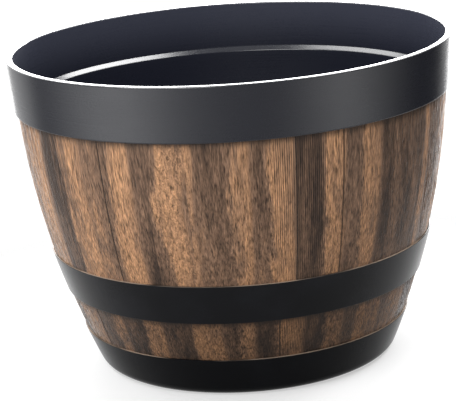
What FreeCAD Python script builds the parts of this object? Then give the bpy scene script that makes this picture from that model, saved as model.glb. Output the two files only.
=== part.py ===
import FreeCAD, Part
import math
import os
from collections import namedtuple

import Sketcher

# A half-barrel planter. A moulded pot with a broad rim band carries two stave sleeves and a hoop
# that are slid on from below, and a base band that snaps over the foot and traps them.
# Lengths are millimetres. The pot's axis is +Z and the pot stands on the plane Z = 0.

# Driving sizes
SIZES = (
    ("pot_height", "282"),
    ("rim_diameter", "390"),
    ("rim_overhang", "4.5"),
    ("foot_diameter", "260"),
    ("rim_band_height", "47.2"),
    ("rim_band_flare", "3.6"),
    ("rim_foot_rounding", "1.2"),
    ("lip_width", "5.6"),
    ("lip_rounding", "1.2"),
    ("ledge_web", "3.1"),
    ("ledge_width", "3.2"),
    ("ledge_fall", "3.8"),
    ("ledge_rounding", "1.2"),
    ("shell_wall", "2.6"),
    ("shell_corner_rounding", "6"),
    ("floor_thickness", "3"),
    ("floor_corner_rounding", "8"),
    ("sleeve_thickness", "2.2"),
    ("upper_sleeve_turn", "2"),
    ("lower_sleeve_turn", "-3"),
    ("lap_height", "1.6"),
    ("lap_thickness", "1"),
    ("fit_gap", "0.2"),
    ("hoop_foot_height", "73.5"),
    ("hoop_width", "35.5"),
    ("band_proud", "1.3"),
    ("band_edge_rounding", "0.6"),
    ("base_band_height", "36.5"),
    ("foot_height", "8"),
    ("foot_width", "29"),
    ("foot_rounding", "12"),
    ("foot_flange_thickness", "3.2"),
    ("foot_upstand_width", "3"),
    ("snap_bead_drop", "7"),
    ("snap_bead_width", "4"),
    ("snap_bead_depth", "0.8"),
    ("stave_count", "28"),
    ("stave_groove_width", "1.4"),
    ("stave_groove_depth", "0.6"),
    ("drain_count", "4"),
    ("drain_inset", "38"),
    ("drain_hole_diameter", "18"),
    ("plug_clearance", "0.3"),
    ("plug_head_overlap", "5"),
    ("plug_head_thickness", "3"),
    ("plug_head_rounding", "1.2"),
    ("plug_stem_reach", "2.5"),
    ("plug_stem_wall", "2.2"),
    ("plug_tab_width", "14"),
    ("plug_tab_height", "11"),
    ("plug_tab_thickness", "3.6"),
    ("plug_tab_rounding", "1"),
)

# Sizes that follow from them. Every upright face of the wall is an arc about one barrel centre,
# which lies level with the rim, so an offset of the face is only another arc radius.
DERIVED = (
    ("rim_radius", "=Sizes.rim_diameter / 2"),
    ("rim_foot_radius", "=rim_radius - Sizes.rim_band_flare"),
    ("lip_bore_radius", "=rim_radius - Sizes.lip_width"),
    ("belly_radius", "=rim_radius - Sizes.rim_overhang"),
    ("barrel_sag", "=belly_radius - Sizes.foot_diameter / 2"),
    ("stave_face", "=(Sizes.pot_height ^ 2 + barrel_sag ^ 2) / (2 * barrel_sag)"),
    ("barrel_centre_offset", "=stave_face - belly_radius"),
    ("band_face", "=stave_face + Sizes.band_proud"),
    ("sleeve_back", "=stave_face - Sizes.sleeve_thickness"),
    ("lap_face", "=sleeve_back + Sizes.lap_thickness"),
    ("lap_clear", "=lap_face + Sizes.fit_gap"),
    ("shell_face", "=sleeve_back - Sizes.fit_gap"),
    ("shell_bore", "=shell_face - Sizes.shell_wall"),
    ("bead_face", "=shell_face + Sizes.snap_bead_depth"),
    ("bead_clear", "=bead_face + Sizes.fit_gap"),
    ("rim_foot", "=Sizes.pot_height - Sizes.rim_band_height"),
    ("rim_pocket_top", "=rim_foot + Sizes.lap_height + Sizes.fit_gap"),
    ("ledge_height", "=rim_pocket_top + Sizes.ledge_web"),
    ("ledge_brink", "=ledge_height - Sizes.ledge_fall"),
    ("ledge_brink_radius", "=sqrt(shell_bore ^ 2 - (Sizes.pot_height - ledge_brink) ^ 2)"
                           " - barrel_centre_offset"),
    ("ledge_outer_radius", "=ledge_brink_radius + Sizes.ledge_width"),
    ("floor_top", "=Sizes.foot_height + Sizes.floor_thickness"),
    ("hoop_top", "=Sizes.hoop_foot_height + Sizes.hoop_width"),
    ("hoop_top_rebate", "=hoop_top - Sizes.lap_height - Sizes.fit_gap"),
    ("hoop_foot_rebate", "=Sizes.hoop_foot_height + Sizes.lap_height + Sizes.fit_gap"),
    ("upper_sleeve_top", "=rim_foot - Sizes.fit_gap"),
    ("upper_tongue_top", "=upper_sleeve_top + Sizes.lap_height"),
    ("upper_tongue_foot", "=hoop_top - Sizes.lap_height"),
    ("lower_tongue_top", "=Sizes.hoop_foot_height + Sizes.lap_height"),
    ("lower_tongue_foot", "=Sizes.base_band_height - Sizes.lap_height"),
    ("base_rebate", "=lower_tongue_foot - Sizes.fit_gap"),
    ("foot_corner_radius", "=sqrt(band_face ^ 2 - Sizes.pot_height ^ 2) - barrel_centre_offset"),
    ("foot_bore_radius", "=foot_corner_radius - Sizes.foot_width"),
    ("foot_upstand_radius", "=foot_bore_radius + Sizes.foot_upstand_width"),
    ("bead_height", "=base_rebate - Sizes.snap_bead_drop"),
    ("bead_foot", "=bead_height - Sizes.snap_bead_width / 2"),
    ("bead_top", "=bead_height + Sizes.snap_bead_width / 2"),
    ("bead_flat_foot", "=bead_foot + Sizes.snap_bead_depth"),
    ("bead_flat_top", "=bead_top - Sizes.snap_bead_depth"),
    ("bead_slot_foot", "=bead_foot - Sizes.fit_gap"),
    ("bead_slot_top", "=bead_top + Sizes.fit_gap"),
    ("bead_slot_flat_foot", "=bead_slot_foot + Sizes.snap_bead_depth"),
    ("bead_slot_flat_top", "=bead_slot_top - Sizes.snap_bead_depth"),
    ("groove_bottom_radius", "=belly_radius - Sizes.stave_groove_depth"),
    ("groove_mouth_radius", "=belly_radius + Sizes.stave_groove_depth"),
    ("groove_mouth_width", "=2 * Sizes.stave_groove_width"),
    ("drain_circle_radius", "=foot_bore_radius - Sizes.drain_inset"),
    ("drain_hole_radius", "=Sizes.drain_hole_diameter / 2"),
    ("plug_head_radius", "=drain_hole_radius + Sizes.plug_head_overlap"),
    ("plug_stem_radius", "=drain_hole_radius - Sizes.plug_clearance"),
    ("plug_stem_bore", "=plug_stem_radius - Sizes.plug_stem_wall"),
    ("plug_stem_depth", "=Sizes.floor_thickness + Sizes.plug_stem_reach"),
    ("plug_head_top", "=plug_stem_depth + Sizes.plug_head_thickness"),
    ("plug_foot", "=Sizes.foot_height - Sizes.plug_stem_reach"),
    ("plug_tab_half", "=Sizes.plug_tab_width / 2"),
    ("plug_tab_root", "=plug_stem_depth + Sizes.plug_head_thickness / 2"),
    ("plug_tab_bend", "=plug_head_top + Sizes.plug_tab_height - plug_tab_half"),
)

# The most of the lip's width and of the ledge's width that a rounding may take up
LIP_ROUNDING_SHARE = 0.47
LEDGE_ROUNDING_SHARE = 0.8

SAME_PLACE = 0.01
FULL_TURN = 360

# How a sketch numbers the points of an edge, and its own axes and origin
START, END, CENTRE = range(1, 4)
ACROSS, UP = range(-1, -3, -1)
ORIGIN = (ACROSS, START)

# A corner of an outline: its distance from the axis (or the barrel arc that it lies on) and its
# height. A radius of None is the axis, and a height of None is the ground.
Corner = namedtuple("Corner", "radius height arc")

document = FreeCAD.newDocument("barrel_planter")


def add_sheet(label, cells):
    sheet = document.addObject("Spreadsheet::Sheet", label)
    for row, (alias, content) in enumerate(cells, start=1):
        sheet.set(f"A{row}", alias)
        sheet.set(f"B{row}", content)
        sheet.setAlias(f"B{row}", alias)
    document.recompute()


def value(cell):
    """The number in a cell that is named as in an expression, such as Sizes.pot_height."""
    sheet, alias = cell.split(".")
    return float(document.getObject(sheet).get(alias))


def point(radius, height):
    return Corner(radius, height, None)


def on_arc(arc, height):
    return Corner(None, height, arc)


def arc_point(arc, height):
    """Where a barrel arc passes a height: its angle at the barrel centre, and its radius."""
    drop = value("Sizes.pot_height") - height
    angle = -math.asin(drop / value(arc))
    return angle, value(arc) * math.cos(angle) - value("Derived.barrel_centre_offset")


def corner_place(corner):
    """A corner's distance from the axis, and its height."""
    height = value(corner.height) if corner.height else 0.0
    if corner.arc:
        return arc_point(corner.arc, height)[1], height
    return (value(corner.radius) if corner.radius else 0.0), height


def origin_feature(body, role):
    for feature in body.Origin.OriginFeatures:
        if feature.Role == role:
            return feature
    raise RuntimeError(f"{body.Label} has no {role}")


def add_sketch(body, name, plane):
    sketch = body.newObject("Sketcher::SketchObject", name)
    sketch.AttachmentSupport = (origin_feature(body, plane), [""])
    sketch.MapMode = "FlatFace"
    return sketch


def bind(sketch, expression, *constraint):
    index = sketch.addConstraint(Sketcher.Constraint(*constraint, value(expression)))
    sketch.setExpression(f"Constraints[{index}]", expression)


def add_barrel_centre(sketch):
    place = FreeCAD.Vector(-value("Derived.barrel_centre_offset"), value("Sizes.pot_height"), 0)
    centre = sketch.addGeometry(Part.Point(place), True)
    bind(sketch, "Derived.barrel_centre_offset", "DistanceX", centre, START, *ORIGIN)
    bind(sketch, "Sizes.pot_height", "DistanceY", *ORIGIN, centre, START)
    return centre


def add_side(sketch, centre, first, last):
    """One side of an outline, and which of its ends is the first corner and which the last."""
    first_place = FreeCAD.Vector(*corner_place(first), 0)
    last_place = FreeCAD.Vector(*corner_place(last), 0)
    if not first.arc or first.arc != last.arc:
        return sketch.addGeometry(Part.LineSegment(first_place, last_place)), START, END
    middle = FreeCAD.Vector(-value("Derived.barrel_centre_offset"), value("Sizes.pot_height"), 0)
    circle = Part.Circle(middle, FreeCAD.Vector(0, 0, 1), value(first.arc))
    angles = [arc_point(first.arc, place.y)[0] for place in (first_place, last_place)]
    side = sketch.addGeometry(Part.ArcOfCircle(circle, min(angles), max(angles)))
    sketch.addConstraint(Sketcher.Constraint("Coincident", side, CENTRE, centre, START))
    bind(sketch, first.arc, "Radius", side)
    return (side, START, END) if angles[0] < angles[1] else (side, END, START)


def bind_corner(sketch, side, end, corner):
    if corner.height:
        bind(sketch, corner.height, "DistanceY", *ORIGIN, side, end)
    else:
        sketch.addConstraint(Sketcher.Constraint("PointOnObject", side, end, ACROSS))
    if corner.arc:
        return
    if corner.radius:
        bind(sketch, corner.radius, "DistanceX", *ORIGIN, side, end)
    else:
        sketch.addConstraint(Sketcher.Constraint("PointOnObject", side, end, UP))


def draw_outline(sketch, corners):
    """A closed outline through the corners, with an arc where two in a row share one."""
    centre = add_barrel_centre(sketch) if any(corner.arc for corner in corners) else None
    following = corners[1:] + corners[:1]
    sides = [add_side(sketch, centre, first, last) for first, last in zip(corners, following)]
    for (side, _, end), (next_side, start, _) in zip(sides, sides[1:] + sides[:1]):
        sketch.addConstraint(Sketcher.Constraint("Coincident", side, end, next_side, start))
    for (side, start, _), corner in zip(sides, corners):
        bind_corner(sketch, side, start, corner)


def ring_body(label, corners):
    """A body of revolution about the pot's axis, from one closed outline."""
    body = document.addObject("PartDesign::Body", label)
    body.Label = label
    outline = add_sketch(body, f"{label}_outline", "XZ_Plane")
    draw_outline(outline, corners)
    ring = body.newObject("PartDesign::Revolution", f"{label}_ring")
    ring.Profile = outline
    ring.ReferenceAxis = (outline, ["V_Axis"])
    ring.Angle = FULL_TURN
    document.recompute()
    return body


def circle_edges(shape, corner):
    """Names of the round edges of a ring that lie at an outline's corner."""
    radius, height = corner_place(corner)
    found = []
    for number, edge in enumerate(shape.Edges, start=1):
        if not isinstance(edge.Curve, Part.Circle):
            continue
        same_height = abs(edge.Curve.Center.z - height) < SAME_PLACE
        if same_height and abs(edge.Curve.Radius - radius) < SAME_PLACE:
            found.append(f"Edge{number}")
    if not found:
        raise RuntimeError(f"no round edge at radius {radius:.2f}, height {height:.2f}")
    return found


def round_edges(body, name, radius, corners):
    base = body.Tip
    edges = [edge for corner in corners for edge in circle_edges(base.Shape, corner)]
    rounding = body.newObject("PartDesign::Fillet", name)
    rounding.Base = (base, edges)
    rounding.setExpression("Radius", radius)
    document.recompute()


def repeat_round_axis(body, name, feature, count):
    pattern = body.newObject("PartDesign::PolarPattern", name)
    pattern.Originals = [feature]
    pattern.Axis = (origin_feature(body, "Z_Axis"), [""])
    pattern.Angle = FULL_TURN
    pattern.setExpression("Occurrences", count)
    body.Tip = pattern
    document.recompute()


def require_cut(body, volume_before):
    if body.Shape.Volume >= volume_before:
        raise RuntimeError(f"a cut in {body.Label} removed nothing")


def make_pot_shell():
    """The moulded pot: floor, wall with a snap bead, inner ledge, rim band and lip."""
    floor_corner = on_arc("Derived.shell_bore", "Derived.floor_top")
    foot_corner = on_arc("Derived.shell_face", "Sizes.foot_height")
    rim_foot = point("Derived.rim_foot_radius", "Derived.rim_foot")
    lip_outside = point("Derived.rim_radius", "Sizes.pot_height")
    lip_inside = point("Derived.lip_bore_radius", "Sizes.pot_height")
    ledge_outside = point("Derived.ledge_outer_radius", "Derived.ledge_height")
    ledge_brink = on_arc("Derived.shell_bore", "Derived.ledge_brink")
    body = ring_body("pot_shell", [
        point(None, "Sizes.foot_height"),
        foot_corner,
        on_arc("Derived.shell_face", "Derived.bead_foot"),
        on_arc("Derived.bead_face", "Derived.bead_flat_foot"),
        on_arc("Derived.bead_face", "Derived.bead_flat_top"),
        on_arc("Derived.shell_face", "Derived.bead_top"),
        on_arc("Derived.shell_face", "Derived.rim_pocket_top"),
        on_arc("Derived.lap_clear", "Derived.rim_pocket_top"),
        on_arc("Derived.lap_clear", "Derived.rim_foot"),
        rim_foot,
        lip_outside,
        lip_inside,
        ledge_outside,
        ledge_brink,
        floor_corner,
        point(None, "Derived.floor_top"),
    ])
    round_edges(body, "lip_rounding",
                f"min(Sizes.lip_rounding; {LIP_ROUNDING_SHARE} * Sizes.lip_width)",
                [lip_outside, lip_inside])
    round_edges(body, "rim_foot_rounding", "Sizes.rim_foot_rounding", [rim_foot])
    round_edges(body, "ledge_rounding",
                f"min(Sizes.ledge_rounding; {LEDGE_ROUNDING_SHARE} * Sizes.ledge_width)",
                [ledge_brink])
    round_edges(body, "floor_corner_rounding", "Sizes.floor_corner_rounding", [floor_corner])
    round_edges(body, "foot_corner_rounding", "Sizes.shell_corner_rounding", [foot_corner])
    cut_drain_holes(body)
    return body


def cut_drain_holes(body):
    volume_before = body.Shape.Volume
    sketch = add_sketch(body, "drain_hole_outline", "XY_Plane")
    place = FreeCAD.Vector(value("Derived.drain_circle_radius"), 0, 0)
    circle = Part.Circle(place, FreeCAD.Vector(0, 0, 1), value("Derived.drain_hole_radius"))
    hole = sketch.addGeometry(circle)
    sketch.addConstraint(Sketcher.Constraint("PointOnObject", hole, CENTRE, ACROSS))
    bind(sketch, "Derived.drain_circle_radius", "DistanceX", *ORIGIN, hole, CENTRE)
    bind(sketch, "Derived.drain_hole_radius", "Radius", hole)
    pocket = body.newObject("PartDesign::Pocket", "drain_hole")
    pocket.Profile = sketch
    pocket.Reversed = True
    pocket.setExpression("Length", "Derived.floor_top + Sizes.floor_thickness")
    document.recompute()
    require_cut(body, volume_before)
    repeat_round_axis(body, "drain_holes", pocket, "Sizes.drain_count")


def cut_stave_grooves(body):
    """V grooves between the staves. Each follows the barrel arc down from the rim's level."""
    volume_before = body.Shape.Volume
    sketch = add_sketch(body, f"{body.Label}_groove_outline", "XY_Plane")
    sketch.setExpression("AttachmentOffset.Base.z", "Sizes.pot_height")
    bottom = FreeCAD.Vector(value("Derived.groove_bottom_radius"), 0, 0)
    mouth = value("Derived.groove_mouth_radius")
    half_mouth = value("Derived.groove_mouth_width") / 2
    left = FreeCAD.Vector(mouth, half_mouth, 0)
    right = FreeCAD.Vector(mouth, -half_mouth, 0)
    sides = [sketch.addGeometry(Part.LineSegment(*ends))
             for ends in ((bottom, right), (right, left), (left, bottom))]
    for side, next_side in zip(sides, sides[1:] + sides[:1]):
        sketch.addConstraint(Sketcher.Constraint("Coincident", side, END, next_side, START))
    sketch.addConstraint(Sketcher.Constraint("PointOnObject", sides[0], START, ACROSS))
    sketch.addConstraint(Sketcher.Constraint("Symmetric", sides[1], START, sides[1], END, ACROSS))
    bind(sketch, "Derived.groove_bottom_radius", "DistanceX", *ORIGIN, sides[0], START)
    bind(sketch, "Derived.groove_mouth_radius", "DistanceX", *ORIGIN, sides[1], START)
    bind(sketch, "Derived.groove_mouth_width", "DistanceY", sides[1], START, sides[1], END)
    centre_x = -value("Derived.barrel_centre_offset")
    axis_ends = [FreeCAD.Vector(centre_x, y, 0) for y in (0, half_mouth)]
    axis = sketch.addGeometry(Part.LineSegment(*axis_ends), True)
    sketch.addConstraint(Sketcher.Constraint("Vertical", axis))
    sketch.addConstraint(Sketcher.Constraint("PointOnObject", axis, START, ACROSS))
    bind(sketch, "Derived.barrel_centre_offset", "DistanceX", axis, START, *ORIGIN)
    bind(sketch, "Derived.groove_mouth_width", "DistanceY", axis, START, axis, END)
    groove = body.newObject("PartDesign::Groove", f"{body.Label}_groove")
    groove.Profile = sketch
    groove.ReferenceAxis = (sketch, ["Axis0"])
    groove.setExpression("Angle", "asin(Sizes.pot_height / Derived.stave_face)")
    document.recompute()
    require_cut(body, volume_before)
    repeat_round_axis(body, f"{body.Label}_grooves", groove, "Sizes.stave_count")


def turn_body(body, degrees):
    """Turns a body about the vertical by an expression in degrees."""
    body.setExpression("Placement.Rotation.Angle", degrees)


def make_sleeve(label, turn, foot, top, tongue_foot, tongue_top):
    """A stave sleeve: a thin tongue above and below tucks behind the band next to it."""
    body = ring_body(label, [
        on_arc("Derived.stave_face", foot),
        on_arc("Derived.stave_face", top),
        on_arc("Derived.lap_face", top),
        on_arc("Derived.lap_face", tongue_top),
        on_arc("Derived.sleeve_back", tongue_top),
        on_arc("Derived.sleeve_back", tongue_foot),
        on_arc("Derived.lap_face", tongue_foot),
        on_arc("Derived.lap_face", foot),
    ])
    cut_stave_grooves(body)
    turn_body(body, turn)
    document.recompute()
    return body


def make_hoop_band():
    """The hoop: rebates inside both its edges take the tongues of the sleeves."""
    top_edge = on_arc("Derived.band_face", "Derived.hoop_top")
    foot_edge = on_arc("Derived.band_face", "Sizes.hoop_foot_height")
    body = ring_body("hoop_band", [
        foot_edge,
        top_edge,
        on_arc("Derived.lap_clear", "Derived.hoop_top"),
        on_arc("Derived.lap_clear", "Derived.hoop_top_rebate"),
        on_arc("Derived.sleeve_back", "Derived.hoop_top_rebate"),
        on_arc("Derived.sleeve_back", "Derived.hoop_foot_rebate"),
        on_arc("Derived.lap_clear", "Derived.hoop_foot_rebate"),
        on_arc("Derived.lap_clear", "Sizes.hoop_foot_height"),
    ])
    round_edges(body, "hoop_edge_rounding", "Sizes.band_edge_rounding", [top_edge, foot_edge])
    return body


def make_base_band():
    """The base band: a rounded foot, an upstand that carries the floor and a slot for the bead."""
    top_edge = on_arc("Derived.band_face", "Sizes.base_band_height")
    foot_edge = on_arc("Derived.band_face", None)
    inner_corner = on_arc("Derived.sleeve_back", "Sizes.foot_flange_thickness")
    body = ring_body("base_band", [
        point("Derived.foot_bore_radius", None),
        foot_edge,
        top_edge,
        on_arc("Derived.lap_clear", "Sizes.base_band_height"),
        on_arc("Derived.lap_clear", "Derived.base_rebate"),
        on_arc("Derived.sleeve_back", "Derived.base_rebate"),
        on_arc("Derived.sleeve_back", "Derived.bead_slot_top"),
        on_arc("Derived.bead_clear", "Derived.bead_slot_flat_top"),
        on_arc("Derived.bead_clear", "Derived.bead_slot_flat_foot"),
        on_arc("Derived.sleeve_back", "Derived.bead_slot_foot"),
        inner_corner,
        point("Derived.foot_upstand_radius", "Sizes.foot_flange_thickness"),
        point("Derived.foot_upstand_radius", "Sizes.foot_height"),
        point("Derived.foot_bore_radius", "Sizes.foot_height"),
    ])
    round_edges(body, "base_edge_rounding", "Sizes.band_edge_rounding", [top_edge])
    round_edges(body, "foot_rounding", "Sizes.foot_rounding", [foot_edge])
    round_edges(body, "foot_inner_rounding", "Sizes.foot_rounding - Sizes.foot_flange_thickness",
                [inner_corner])
    return body


def add_finger_tab(body):
    """A flat tab with a round top, standing on the plug's head and rounded along its edges."""
    sketch = add_sketch(body, f"{body.Label}_tab_outline", "XZ_Plane")
    half = value("Derived.plug_tab_half")
    root = value("Derived.plug_tab_root")
    bend = value("Derived.plug_tab_bend")
    right_root = FreeCAD.Vector(half, root, 0)
    left_root = FreeCAD.Vector(-half, root, 0)
    right_bend = FreeCAD.Vector(half, bend, 0)
    left_bend = FreeCAD.Vector(-half, bend, 0)
    right_side = sketch.addGeometry(Part.LineSegment(right_root, right_bend))
    crown_circle = Part.Circle(FreeCAD.Vector(0, bend, 0), FreeCAD.Vector(0, 0, 1), half)
    crown = sketch.addGeometry(Part.ArcOfCircle(crown_circle, 0, math.pi))
    left_side = sketch.addGeometry(Part.LineSegment(left_bend, left_root))
    foot = sketch.addGeometry(Part.LineSegment(left_root, right_root))
    sides = (right_side, crown, left_side, foot)
    for side, next_side in zip(sides, sides[1:] + sides[:1]):
        sketch.addConstraint(Sketcher.Constraint("Coincident", side, END, next_side, START))
    sketch.addConstraint(Sketcher.Constraint("PointOnObject", crown, CENTRE, UP))
    for side in (right_side, left_side):
        sketch.addConstraint(Sketcher.Constraint("Vertical", side))
    sketch.addConstraint(Sketcher.Constraint("Horizontal", foot))
    bind(sketch, "Derived.plug_tab_half", "DistanceX", *ORIGIN, right_side, START)
    bind(sketch, "Derived.plug_tab_root", "DistanceY", *ORIGIN, right_side, START)
    for crown_point in (START, END, CENTRE):
        bind(sketch, "Derived.plug_tab_bend", "DistanceY", *ORIGIN, crown, crown_point)
    tab = body.newObject("PartDesign::Pad", f"{body.Label}_tab")
    tab.Profile = sketch
    tab.Midplane = True
    tab.setExpression("Length", "Sizes.plug_tab_thickness")
    document.recompute()


def round_finger_tab(body):
    """Rounds the two crowned edges of the tab."""
    base = body.Tip
    crown_height = value("Derived.plug_tab_bend")
    half = value("Derived.plug_tab_half")
    edges = []
    for number, edge in enumerate(base.Shape.Edges, start=1):
        curve = edge.Curve
        if isinstance(curve, Part.Circle) and abs(curve.Center.z - crown_height) < SAME_PLACE:
            if abs(curve.Radius - half) < SAME_PLACE and round(abs(curve.Axis.y)) == 1:
                edges.append(f"Edge{number}")
    rounding = body.newObject("PartDesign::Fillet", f"{body.Label}_tab_rounding")
    rounding.Base = (base, edges)
    rounding.setExpression("Radius", "Sizes.plug_tab_rounding")
    document.recompute()


def make_drain_plug(number):
    """A plug in its own frame: the end of its hollow stem is at Z = 0 and its head above."""
    label = f"drain_plug_{number + 1}"
    head_edge = point("Derived.plug_head_radius", "Derived.plug_head_top")
    body = ring_body(label, [
        point("Derived.plug_stem_bore", None),
        point("Derived.plug_stem_radius", None),
        point("Derived.plug_stem_radius", "Derived.plug_stem_depth"),
        point("Derived.plug_head_radius", "Derived.plug_stem_depth"),
        head_edge,
        point(None, "Derived.plug_head_top"),
        point(None, "Derived.plug_stem_depth"),
        point("Derived.plug_stem_bore", "Derived.plug_stem_depth"),
    ])
    round_edges(body, f"{label}_head_rounding", "Sizes.plug_head_rounding", [head_edge])
    add_finger_tab(body)
    round_finger_tab(body)
    turn = f"{number} * {FULL_TURN} / Sizes.drain_count"
    turn_body(body, turn)
    body.setExpression("Placement.Base.x", f"Derived.drain_circle_radius * cos({turn})")
    body.setExpression("Placement.Base.y", f"Derived.drain_circle_radius * sin({turn})")
    body.setExpression("Placement.Base.z", "Derived.plug_foot")
    document.recompute()
    return body


def check_document():
    """Stops on any object that failed to build."""
    for item in document.Objects:
        if "Invalid" in item.State or "Error" in item.State:
            raise RuntimeError(f"{item.Label} failed: {item.State}")


def write_parts(bodies):
    for body in bodies:
        if body.Shape.isNull() or not body.Shape.isValid():
            raise RuntimeError(f"{body.Label} has no valid shape")
        if len(body.Shape.Solids) != 1:
            raise RuntimeError(f"{body.Label} has {len(body.Shape.Solids)} solids")
    os.makedirs("parts", exist_ok=True)
    for body in bodies:
        body.Shape.exportStep(os.path.join("parts", f"{body.Label}.step"))
        print(f"{body.Label}: {body.Shape.Volume / 1000:.2f} cm3")


def main():
    add_sheet("Sizes", SIZES)
    add_sheet("Derived", DERIVED)
    bodies = [
        make_pot_shell(),
        make_sleeve("upper_stave_sleeve", "Sizes.upper_sleeve_turn",
                    "Derived.hoop_top", "Derived.upper_sleeve_top",
                    "Derived.upper_tongue_foot", "Derived.upper_tongue_top"),
        make_hoop_band(),
        make_sleeve("lower_stave_sleeve", "Sizes.lower_sleeve_turn",
                    "Sizes.base_band_height", "Sizes.hoop_foot_height",
                    "Derived.lower_tongue_foot", "Derived.lower_tongue_top"),
        make_base_band(),
    ]
    bodies += [make_drain_plug(number) for number in range(round(value("Sizes.drain_count")))]
    check_document()
    write_parts(bodies)


main()
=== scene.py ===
import math
from typing import NamedTuple

import bpy
from mathutils import Matrix, Quaternion, Vector


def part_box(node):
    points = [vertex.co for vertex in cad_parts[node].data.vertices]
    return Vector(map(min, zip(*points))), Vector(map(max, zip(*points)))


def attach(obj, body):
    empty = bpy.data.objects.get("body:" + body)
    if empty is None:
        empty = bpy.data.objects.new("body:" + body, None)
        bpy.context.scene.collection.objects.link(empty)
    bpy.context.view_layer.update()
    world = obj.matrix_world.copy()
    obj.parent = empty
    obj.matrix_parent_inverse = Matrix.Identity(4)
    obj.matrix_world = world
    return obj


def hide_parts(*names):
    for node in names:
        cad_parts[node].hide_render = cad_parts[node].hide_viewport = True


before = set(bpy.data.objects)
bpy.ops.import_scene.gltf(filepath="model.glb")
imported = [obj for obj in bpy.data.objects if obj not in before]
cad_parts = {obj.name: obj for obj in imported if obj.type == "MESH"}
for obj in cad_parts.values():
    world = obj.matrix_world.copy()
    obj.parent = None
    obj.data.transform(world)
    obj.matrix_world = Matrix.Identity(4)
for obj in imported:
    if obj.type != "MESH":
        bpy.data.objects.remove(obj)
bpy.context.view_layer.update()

bl_info = {
    "name": "Half-Barrel Planter",
    "version": (1, 0, 0),
    "blender": (4, 5, 0),
    "location": "View3D > Sidebar > Planter",
    "description": "Dresses a half-barrel planter: wood-look staves, black resin bands and drain plugs",
    "category": "Object",
}

# Places that the frame gives, in metres
POT_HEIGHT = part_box("pot_shell")[1].z
HOOP_FOOT, HOOP_TOP = (corner.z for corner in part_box("hoop_band"))
BASE_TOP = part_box("base_band")[1].z
UPPER_TONGUE_FOOT, UPPER_TONGUE_TOP = (corner.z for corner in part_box("upper_stave_sleeve"))
LOWER_TONGUE_FOOT, LOWER_TONGUE_TOP = (corner.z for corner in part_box("lower_stave_sleeve"))
LAP_HEIGHT = HOOP_TOP - UPPER_TONGUE_FOOT

# How much of the wood's tone a dark stripe takes away, and how wide its edge fades
FAINT, PLAIN, DEEP = 0.42, 0.6, 0.85
STRIPE_EDGE = math.radians(1.2)


class StaveRow(NamedTuple):
    """What differs between the two rows of staves.

    The foot and top are those of the face that shows, and the tongues reach past them behind the bands.
    The stripes are the dark ones of the wood look round half the barrel: each one's middle and width in
    degrees, where 0 faces the viewer and angles grow to the right, and its depth. The clear joints are
    those whose groove the finish has not filled. The other half of the barrel repeats both.
    """

    name: str
    foot: float
    top: float
    tongue_foot: float
    tongue_top: float
    back_rows: int
    tone: float
    grain_contrast: float
    clear_joints: tuple
    stripes: tuple


UPPER_ROW = StaveRow(
    name="upper", foot=HOOP_TOP, top=UPPER_TONGUE_TOP - LAP_HEIGHT,
    tongue_foot=UPPER_TONGUE_FOOT, tongue_top=UPPER_TONGUE_TOP, back_rows=5,
    tone=0.82, grain_contrast=3.3, clear_joints=(1, 2, 11),
    stripes=(
        (-84, 6, PLAIN), (-74, 4, FAINT), (-56, 8, DEEP), (-39, 9, FAINT), (-23.5, 8, PLAIN),
        (-7, 9, FAINT), (5.5, 5, PLAIN), (18.5, 8, DEEP), (31, 5, PLAIN), (42, 4, DEEP),
        (49, 11, PLAIN), (56.5, 4, DEEP), (66, 9, FAINT), (83, 5, PLAIN),
    ),
)
LOWER_ROW = StaveRow(
    name="lower", foot=BASE_TOP, top=HOOP_FOOT,
    tongue_foot=LOWER_TONGUE_FOOT, tongue_top=LOWER_TONGUE_TOP, back_rows=3,
    tone=0.80, grain_contrast=4.2, clear_joints=(1, 10),
    stripes=(
        (-83, 7, DEEP), (-71, 5, PLAIN), (-51, 8, PLAIN), (-38, 8, DEEP), (-22, 10, DEEP), (-5, 5, PLAIN),
        (6, 7, DEEP), (21.5, 7, DEEP), (34, 5, PLAIN), (50, 6, FAINT), (66, 7, PLAIN), (80, 6, DEEP),
    ),
)


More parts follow.
